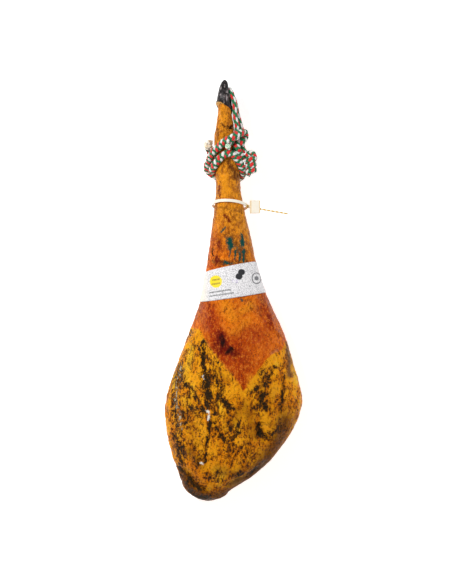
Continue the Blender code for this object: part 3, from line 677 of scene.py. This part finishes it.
def make_ham():
    widening = np.abs(np.diff(FINE_ROWS[:, 1:4], axis=0)).max(1)
    reach = np.hypot(np.diff(FINE_ROWS[:, 0]), widening * RING_WIDTH_WEIGHT)
    reach = np.concatenate([[0], np.cumsum(reach)])
    wanted = reach[-1] * np.maximum(np.arange(RINGS) / (RINGS - 1), FIRST_RING / RINGS)
    places = np.interp(wanted, reach, FINE_PLACES)
    angles = np.arange(SECTORS) * 360 / SECTORS
    angle_grid, place_grid = np.meshgrid(angles, places)
    plain = leg_points(angle_grid, place_grid, 0.0)
    x, y = plain[..., 0], plain[..., 1]
    shown = np.cos(np.radians(angle_grid)) > 0

    def noise_on(size, shift=Vector()):
        values = [noise.noise(Vector(p) / size + shift) for p in plain.reshape(-1, 3)]
        return np.array(values).reshape(x.shape)

    small_y = noise_on(SMALL_SWAY_SIZE, OTHER_NOISE)
    broad_y = noise_on(SWAY_SIZE, OTHER_NOISE)
    away_x = x + MARK_SWAY * (noise_on(SWAY_SIZE) + SMALL_SWAY * noise_on(SMALL_SWAY_SIZE))
    away_y = y + MARK_SWAY * (broad_y + SMALL_SWAY * small_y)
    edge_y = y + EDGE_SWAY * (broad_y + small_y)
    sides = (skin_share(x, edge_y, edge, SKIN_COLOUR_RAMP) for edge in (SKIN_EDGE, BACK_SKIN_EDGE))
    skin = np.where(shown, *sides)
    lumps = noise_on(LUMP_SIZE) + 0.5 * noise_on(SMALL_LUMP_SIZE)
    rough = lumps * LUMP_HEIGHT + noise_on(PIT_SIZE) * PIT_HEIGHT
    fade_start, calm_start, calm_end, fade_end = CALM_UNDER_ROPE
    under_rope = smooth_step(y, fade_start, calm_start) * smooth_step(fade_end - y, 0, fade_end - calm_end)
    rough *= (1 - SKIN_CALM * skin) * (1 - under_rope)
    points = leg_points(angle_grid, place_grid, np.minimum(rough, HIGHEST_LUMP))
    points[..., 2] = np.maximum(points[..., 2], 0)
    along, left, right, top, low = LEG_STATIONS[0]
    start = ((left + right) / 2, along, (top + low) / 2)
    flat = list(points.reshape(-1, 3)) + [start, points[-1].mean(0)]
    piece = add_piece("leg", flat, closed_faces(RINGS, SECTORS), [ham_finish()])
    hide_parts("ham")

    def paint_on(name, front, back=(), extra=0.0):
        values = np.where(shown, marks(away_x, away_y, front), marks(away_x, away_y, back)) + extra
        set_attribute(piece, name, np.concatenate([np.clip(values, 0, 1).ravel(), [0, 0]]))

    set_attribute(piece, "skin", np.concatenate([skin.ravel(), [0, 1]]))
    paint_on("black", BLACK, BLACK_BACK)
    for name, rows in COLOUR_MARKS.items():
        paint_on(name, rows)
    paint_on("ochre", (), extra=smooth_step(y + OCHRE_LEAN * x, *OCHRE_RISE))


def strand_finish(name, colour, shade):
    """Twisted yarn: fine slanted threads with painted shade between them, and painted shade where the strand
    sinks between others.
    """
    paint = Paint(name, 0.7, sheen_weight=0.15)
    threads = paint.math("SINE", paint.mask("thread"))
    # Painted shade between the threads: the darker copy of the colour.
    yarn = paint.mix(paint.step(threads, -0.95, 0.3), shade, colour)
    # Painted shade where the strand sinks between others.
    sunk_shade = tuple(0.15 * part for part in shade)
    paint.set("Base Color", paint.mix(paint.step(paint.mask("crown"), 0.8, 0.96), sunk_shade, yarn))
    paint.bump(paint.math("ADD", threads, paint.noise(900, 2)), 0.0004, 0.6)
    return paint.material


def rope_finishes():
    return [
        # Each strand: its colour, and a darker copy of it for painted shade.
        strand_finish("rope green", (0.006, 0.23, 0.075), (0.002, 0.075, 0.024)),
        strand_finish("rope red", (0.96, 0.014, 0.014), (0.5, 0.004, 0.004)),
        strand_finish("rope white", (0.98, 0.96, 0.94), (0.62, 0.58, 0.54)),
        strand_finish("rope core", (0.02, 0.035, 0.022), (0.01, 0.016, 0.01)),
        strand_finish("rope cut", (0.8, 0.9, 0.74), (0.22, 0.52, 0.26)),
    ]


def even_points(rows, step):
    fine = curve_through(rows, np.linspace(0, len(rows) - 1, 24 * (len(rows) - 1) + 1))
    reach = np.concatenate([[0], np.cumsum(np.linalg.norm(np.diff(fine, axis=0), axis=1))])
    wanted = np.linspace(0, reach[-1], max(2, round(reach[-1] / step)) + 1)
    return np.stack([np.interp(wanted, reach, fine[:, k]) for k in range(3)], -1), wanted


def turning_frames(points):
    """Side and up directions along a line, without twist."""
    ways = np.gradient(points, axis=0)
    ways /= np.linalg.norm(ways, axis=1, keepdims=True)
    side = np.cross(ways[0], (0.0, 0.0, 1.0))
    sides = []
    for way in ways:
        side = side - way * side.dot(way)
        side = side / np.linalg.norm(side)
        sides.append(side)
    sides = np.array(sides)
    return sides, np.cross(ways, sides)


def braid(route, radius, weave, pitch, cut_end):
    """Mesh, line and length of a rope of woven strands round a dark core."""
    line, reach = even_points(route, ROUTE_STEP)
    side, up = turning_frames(line)
    waves, drift, groups = weave
    points, faces, slots, threads, crowns = [], [], [], [], []

    def add_tube(turn, out, slot, phase):
        made = capped_faces(len(line), turn.shape[1], sum(len(p) for p in points))
        spoke = side[:, None] * np.cos(turn)[..., None] + up[:, None] * np.sin(turn)[..., None]
        points.append((line[:, None] + spoke * radius * out[..., None]).reshape(-1, 3))
        threads.append(phase.ravel())
        crowns.append(out.ravel())
        faces.extend(made)
        slots.extend([slot] * len(made))

    turn = np.linspace(0, 2 * math.pi, CORE_SECTORS, endpoint=False)[None].repeat(len(line), 0)
    add_tube(turn, np.full_like(turn, CORE_SHARE), CORE, np.zeros_like(turn))
    spin = 2 * math.pi * reach / pitch
    for helix, colours, fill, base, swing, rise in groups:
        for k, colour in enumerate(colours):
            middle = helix * spin + 2 * math.pi * k / len(colours)
            level = base + swing * np.cos(waves * (middle - drift * spin))
            turn = middle[:, None] + fill * math.pi / len(colours) * STRAND_ACROSS
            yarn = STRAND_ACROSS * YARN_ACROSS + (reach * YARN_ALONG)[:, None]
            add_tube(turn, level[:, None] + rise * STRAND_DOME, colour, yarn)
    if cut_end:
        add_cut(line, side, up, radius, points, threads, crowns, faces, slots)
    points, threads, crowns = (np.concatenate(parts) for parts in (points, threads, crowns))
    return points, faces, slots, threads, crowns, line, reach[-1]


def add_cut(line, side, up, radius, points, threads, crowns, faces, slots):
    """The cut end's face: packed yarn ends in a low dome with a dimple in the middle."""
    turn = np.linspace(0, 2 * math.pi, 40, endpoint=False)
    way = (line[-1] - line[-2]) / np.linalg.norm(line[-1] - line[-2])
    spoke = side[-1] * np.cos(turn)[:, None] + up[-1] * np.sin(turn)[:, None]
    made = capped_faces(len(CUT_DOME), len(turn), sum(len(p) for p in points))
    wave = 1 + 0.05 * np.cos(7 * turn)[:, None]
    for share, rise in CUT_DOME:
        points.append(line[-1] + spoke * radius * share * wave + way * rise)
        threads.append(turn * 3 + share * 9)
        crowns.append(np.ones(len(turn)))
    faces.extend(made)
    slots.extend([CUT] * len(made))


def make_braid(name, route, radius, finishes, weave, pitch, cut_end=False):
    points, faces, slots, threads, crowns, line, length = braid(route, radius, weave, pitch, cut_end)
    piece = add_piece(name, points, faces, finishes, slots)
    set_attribute(piece, "thread", threads)
    set_attribute(piece, "crown", crowns)
    return piece, line * MM, length * MM


def stopper_route():
    """Rope turns side by side, from the hidden side, and an arch over their top."""
    middle_x, middle_z = STOPPER_AXIS
    full = 2 * math.pi * (STOPPER_TURNS - 0.25)
    spin = np.linspace(0, full, 60)
    swing = STOPPER_COIL_RADIUS * (0.6 + 0.4 * smooth_step(spin, 0, math.pi))
    along = STOPPER_FIRST + TURN_SPACING * spin / (2 * math.pi)
    coil = np.stack([middle_x + swing * np.sin(-spin), along, middle_z - swing * np.cos(spin)], -1)
    side = coil[-1, 0] - middle_x
    bow = np.linspace(0, math.pi, 12)[1:]
    arch = np.stack([middle_x + side * np.cos(bow), along[-1] + STOPPER_ARCH * np.sin(bow),
                     np.full(len(bow), middle_z + 1.5)], -1)
    return np.concatenate([coil, arch, arch[-1:] - (0, 4, 3)])


def make_ropes():
    finishes = rope_finishes()
    turns_route = np.concatenate([on_shank(FIRST_TURNS), OVER, on_shank(LAST_TURN), TURNS_END])
    loop_route = np.concatenate([OVER_HOOF, on_shank(TUCK), CUT_END])
    turns, turns_line, turns_length = make_braid(
        "braid_turns", turns_route, TURNS_ROPE_RADIUS, finishes, PLAIT, PLAIT_PITCH)
    loop, loop_line, loop_length = make_braid(
        "braid_loop", loop_route, LOOP_ROPE_RADIUS, finishes, WRAP, WRAP_PITCH, cut_end=True)
    knot = make_braid("braid_knot", stopper_route(), STOPPER_ROPE_RADIUS, finishes, PLAIT, STOPPER_PITCH)[0]
    fray = make_fray()
    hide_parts("rope_turns")
    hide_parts("rope_loop")
    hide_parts("rope_knot")
    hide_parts("rope_fray")


def make_fray():
    """Pale cotton tufts at the rope's open end: a soft clump and curled locks round it."""
    base, tip = np.array(FRAY_BASE), np.array(FRAY_TIP)
    axis = (tip - base) / np.linalg.norm(tip - base)
    side = np.cross(axis, (0, 0, 1))
    side /= np.linalg.norm(side)
    up = np.cross(side, axis)
    points, faces = [], []
    noise.seed_set(FRAY_SEED)  # without it, each run draws its own noise vectors

    def add_tuft(start, end, radius, seed):
        """A rough rounded lump from start to end."""
        rows, count = 16, 22
        faces.extend(capped_faces(rows, count, len(points)))
        for row in range(rows):
            level = (row + 0.5) / rows
            swell = radius * (1 - (2 * level - 1) ** 4) ** 0.5
            for s in range(count):
                turn = 2 * math.pi * s / count
                place = Vector(start).lerp(Vector(end), level)
                place += Vector(side * math.cos(turn) + up * math.sin(turn)) * swell
                rough = noise.noise_vector(place / TUFT_LUMP + Vector((seed, 0, 0)))
                points.append(tuple(place + rough * radius * TUFT_ROUGHNESS))

    base, tip = base + FRAY_SHIFT, tip + FRAY_SHIFT
    add_tuft(base - 6 * axis, base + 0.6 * (tip - base), FRAY_RADIUS * 1.1, 0)
    for k in range(TUFTS):
        turn = 2.4 * k  # the golden angle
        share = (k + 0.5) / TUFTS
        around = side * math.cos(turn) + up * math.sin(turn)
        start = base + axis * (12 * share - 3) + around * FRAY_RADIUS * 0.75
        end = start + axis * (3.0 + 2.4 * (k % 3)) + around * (1.2 + 0.8 * (k % 2))
        add_tuft(start, end, 2.8 + 0.6 * (k % 3), k + 1)
    paint = Paint("rope fray", 0.95)
    fluff = paint.noise(420, 4, 0.7)
    cream = paint.mix(paint.step(paint.noise(150), 0.42, 0.66), (1.0, 0.96, 0.88), (0.88, 0.72, 0.48))
    paint.set("Base Color", paint.mix(paint.step(fluff, 0.34, 0.5), (0.72, 0.6, 0.44), cream))
    paint.bump(fluff, 0.001, 0.8)
    piece = add_piece("frayed_cotton", points, faces, [paint.material])
    return piece


def horn_finish():
    """Nearly black horn with pale streaks of painted highlight and a thin golden rim at the left."""
    paint = Paint("hoof", 0.36, specular_ior_level=0.25)
    stretched = paint.node("ShaderNodeMapping", {"Vector": paint.place, "Scale": (1.0, 0.1, 0.6)}).outputs[0]
    lines = paint.noise(300, 3, 0.6, place=stretched)
    fibres = paint.noise(1100, 2, 0.6, place=stretched)
    patches = paint.noise(110, 4, 0.65)
    dark = paint.mix(paint.step(patches, 0.38, 0.62), (0.004, 0.003, 0.003), (0.034, 0.028, 0.03))
    # Painted highlight: pale violet-grey streaks over the dark horn.
    highlight_streaks = paint.times(paint.step(lines, 0.5, 0.66), paint.step(patches, 0.46, 0.6))
    dark = paint.mix(highlight_streaks, dark, (0.46, 0.38, 0.38))
    rim = paint.times(paint.mask("rim"), paint.step(patches, 0.36, 0.5))
    paint.set("Base Color", paint.mix(paint.step(rim, 0.35, 0.6), dark, (0.56, 0.28, 0.06)))
    paint.set("Roughness", paint.step(patches, 0.35, 0.65, 0.25, 0.5))
    paint.bump(paint.math("ADD", lines, paint.times(fibres, 0.3)), 0.0016, 0.8)
    return paint.material


def make_claw(name, node, rows, tip, cleft_below, finish):
    levels = curve_through(rows, np.linspace(0, len(rows) - 1, CLAW_ROWS))
    turn = np.linspace(0, 2 * math.pi, CLAW_SECTORS, endpoint=False)
    across, up = np.cos(turn), np.sin(turn)
    domed = FLAT_SIDE_CROWN + (1 - FLAT_SIDE_CROWN) * np.abs(up) ** CLAW_DOME_POWER
    rise = np.where(up > 0, domed, FLAT_SIDE_CROWN * (1 + up))
    rings = []
    for share, left, right, low, high in levels:
        flat, dome = (low, high) if cleft_below else (high, low)
        sideways = np.sign(across) * np.abs(across) ** CLAW_SIDE_POWER
        x = (left + right) / 2 + (right - left) / 2 * sideways
        z = SHANK_HEIGHT + flat + (dome - flat) * rise
        slant = FOOT_SLANT_X * (x - FOOT_MIDDLE[0]) + FOOT_SLANT_Z * (z - SHANK_HEIGHT)
        base = FOOT_MIDDLE[1] + slant + CLAW_GAP
        rings.append(np.stack([x, base + share * (tip[1] - base), z], -1))
    points = np.concatenate(rings + [[rings[0].mean(0), (tip[0], tip[1], SHANK_HEIGHT + tip[2])]])
    piece = add_piece(name, points, closed_faces(CLAW_ROWS, CLAW_SECTORS), [finish])
    low_edge = np.repeat(1 - smooth_step(levels[:, 0], 0.0, 0.05), CLAW_SECTORS)
    left_side = 1 - smooth_step(points[:-2, 0], *RIM_FADE)
    set_attribute(piece, "rim", np.concatenate([low_edge * left_side, [0, 0]]))
    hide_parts(node)


def paper_finish():
    """Grey paper with a yellow disc, a dark motif, a ring and two bars: no lettering."""
    paint = Paint("label band", 0.55)
    place = paint.node("ShaderNodeSeparateXYZ", {0: paint.place}).outputs
    shown = paint.step(place["Z"], PRINT_HEIGHT[0] * MM, PRINT_HEIGHT[1] * MM)

    def spot(x, y, wide, high, blur=0.0006, wave=0.0):
        dx = paint.math("DIVIDE", paint.math("SUBTRACT", place["X"], x * MM), wide * MM)
        dy = paint.math("DIVIDE", paint.math("SUBTRACT", place["Y"], y * MM), high * MM)
        squares = paint.math("ADD", paint.times(dx, dx), paint.times(dy, dy))
        away = paint.math("SQRT", squares)
        if wave:
            away = paint.math("ADD", away, paint.times(paint.noise(140, 2), wave))
        soft = blur / (min(wide, high) * MM)
        return paint.times(paint.step(away, 1 + soft, 1 - soft), shown)

    def bar(x, y, wide, high, slope):
        dx = paint.math("ABSOLUTE", paint.math("SUBTRACT", place["X"], x * MM))
        level = paint.math("SUBTRACT", place["Y"], paint.times(place["X"], slope))
        dy = paint.math("ABSOLUTE", paint.math("SUBTRACT", level, (y - slope * x) * MM))
        inside = paint.times(paint.step(dx, wide * MM, (wide - 0.8) * MM),
                             paint.step(dy, high * MM, (high - 0.5) * MM))
        return paint.times(inside, shown)

    speckle = paint.step(paint.noise(560, 3, 0.7), 0.38, 0.54)
    colour = paint.mix(speckle, (0.36, 0.35, 0.36), (0.87, 0.85, 0.86))
    colour = paint.mix(paint.mask("cream"), colour, (0.8, 0.73, 0.62))
    colour = paint.mix(spot(-35, 19, 13, 13, wave=0.14), colour, (0.9, 0.7, 0.004))
    faded_black = paint.mix(speckle, (0.08, 0.05, 0.01), (0.6, 0.44, 0.01))
    for y, wide in ((22.6, 8.0), (14.8, 9.0)):
        colour = paint.mix(bar(-35, y, wide, 1.9, BAR_SLOPE), colour, faded_black)
    for x, y in ((15.5, 37.5), (10.5, 29)):
        colour = paint.mix(spot(x, y, 7.8, 7.0, wave=0.25), colour, (0.01, 0.01, 0.014))
    violet = paint.times(spot(3, 20, 8, 4.5, wave=0.3), paint.step(speckle, 0.9, 0.3))
    colour = paint.mix(violet, colour, (0.4, 0.32, 0.56))
    ring = paint.math("SUBTRACT", spot(45.5, 25.6, 9.8, 11.4), spot(45.5, 25.6, 8.0, 9.6))
    colour = paint.mix(ring, colour, (0.1, 0.1, 0.11))
    colour = paint.mix(spot(45.5, 25.6, 4.2, 4.2), colour, (0.16, 0.16, 0.17))
    faded_grey = paint.mix(speckle, (0.03, 0.03, 0.03), (0.42, 0.42, 0.42))
    for x, y, wide in ((-27, 0.0, 22), (-24, -6.6, 25)):
        colour = paint.mix(bar(x, y, wide, 1.7, BAR_SLOPE), colour, faded_grey)
    paint.set("Base Color", colour)
    paint.bump(paint.noise(260), 0.0005, 0.4)
    return paint.material


def band_edge(angles, level, slope, arch):
    along = np.full(len(angles), float(level))
    for _ in range(BAND_EDGE_PASSES):
        point = leg_points(angles, station_place(along), np.full(len(angles), BAND_GAP))
        along = level + slope * point[:, 0] + arch * np.cos(np.radians(angles))
    return along


def make_band():
    angles = np.arange(BAND_SECTORS) * 360 / BAND_SECTORS
    low = band_edge(angles, BAND_LOW, BAND_LOW_SLOPE, BAND_LOW_ARCH)
    top = band_edge(angles, BAND_TOP, BAND_TOP_SLOPE, BAND_TOP_ARCH)
    share = np.linspace(0, 1, BAND_ROWS)
    places = station_place(low[:, None] + (top - low)[:, None] * share)
    grid = angles[:, None].repeat(BAND_ROWS, 1)
    inner = leg_points(grid, places, BAND_GAP)
    outer = leg_points(grid, places, BAND_GAP + BAND_THICKNESS)
    columns = np.concatenate([inner, outer[:, ::-1]], axis=1)
    faces = grid_faces(BAND_SECTORS, 2 * BAND_ROWS, close_rows=True)
    piece = add_piece("paper_band", columns.reshape(-1, 3), faces, [paper_finish()])
    set_attribute(piece, "cream", smooth_step(-columns[..., 0], *CREAM_FADE))
    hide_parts("label_band")


def plastic_finish():
    """Milky plastic, amber beside the lock and in dashes along the tail."""
    paint = Paint("seal", 0.42)
    x = paint.node("ShaderNodeSeparateXYZ", {0: paint.place}).outputs["X"]
    waves = paint.math("SINE", paint.times(x, 2 * math.pi / (TAIL_DASH * MM)))
    from_lock = paint.math("ABSOLUTE", paint.math("SUBTRACT", x, LOCK_X * MM))
    outside_lock = paint.step(from_lock, LOCK_FADE[0] * MM, LOCK_FADE[1] * MM)
    past_strap = paint.step(x, STRAP_FADE[0] * MM, STRAP_FADE[1] * MM)
    beside = paint.times(outside_lock, past_strap)
    amber = paint.times(beside, paint.step(waves, -0.5, 0.5, 0.25, 1.0))
    milky = paint.mix(paint.noise(120), (0.84, 0.77, 0.62), (0.92, 0.88, 0.78))
    paint.set("Base Color", paint.mix(amber, milky, (0.72, 0.44, 0.08)))
    paint.bump(paint.noise(400, 2), 0.0003, 0.3)
    return paint.material


def make_stage():
    bpy.ops.mesh.primitive_plane_add(size=12, location=(0, 0, -0.0006))
    floor = bpy.context.object
    floor.name = "floor"
    paint = Paint("floor", 0.9, base_color=(0.92, 0.92, 0.92), emission_color=(1.0, 1.0, 1.0),
                  emission_strength=0.62)
    floor.data.materials.append(paint.material)


def add_area(name, place, target, size, power, colour=(1, 1, 1)):
    light = bpy.data.lights.new(name, "AREA")
    light.shape = "DISK"
    light.size = size
    light.energy = power
    light.color = colour
    holder = bpy.data.objects.new(name, light)
    holder.location = place
    holder.rotation_euler = (Vector(target) - Vector(place)).to_track_quat("-Z", "Y").to_euler()
    bpy.context.scene.collection.objects.link(holder)


def make_lights():
    world = bpy.data.worlds.new("studio")
    world.use_nodes = True
    world.node_tree.nodes["Background"].inputs["Color"].default_value = (1, 1, 1, 1)
    world.node_tree.nodes["Background"].inputs["Strength"].default_value = 0.24
    bpy.context.scene.world = world
    add_area("key", (-0.9, 0.8, 1.8), (0, -0.05, 0), 0.4, 33)
    add_area("fill", (1.2, -0.4, 1.6), (0, 0, 0), 0.9, 10)
    add_area("low left", (-1.5, -0.3, 0.25), (0, -0.1, 0.05), 0.5, 3)
    add_area("low right", (1.5, 0.1, 0.25), (0, -0.1, 0.05), 0.5, 1.5)
    bpy.context.scene.view_settings.view_transform = "Standard"
    bpy.context.scene.view_settings.look = "None"


CAMERA_AIM = (-15, -1.6)  # the point under the picture's middle
PICTURE_TALL, MIDDLE_HEIGHT = 1168, 58  # of the view at the leg's widest level
LENS, SENSOR = 85, 36


def make_camera():
    """Straight above the ham, which the photograph shows from the front as it hangs."""
    data = bpy.data.cameras.new("camera")
    data.lens = LENS
    data.sensor_fit = "VERTICAL"
    data.sensor_height = SENSOR
    camera = bpy.data.objects.new("camera", data)
    height = MIDDLE_HEIGHT + PICTURE_TALL * LENS / SENSOR
    camera.location = (CAMERA_AIM[0] * MM, CAMERA_AIM[1] * MM, height * MM)
    bpy.context.scene.collection.objects.link(camera)
    bpy.context.scene.camera = camera


make_camera()
make_stage()
make_lights()
make_ropes()
make_ham()
horn = horn_finish()
make_claw("outer_claw", "hoof_outer", OUTER_CLAW, OUTER_CLAW_TIP, True, horn)
make_claw("inner_claw", "hoof_inner", INNER_CLAW, INNER_CLAW_TIP, False, horn)
make_band()
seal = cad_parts["seal_tie"]
seal.data.materials.clear()
seal.data.materials.append(plastic_finish())
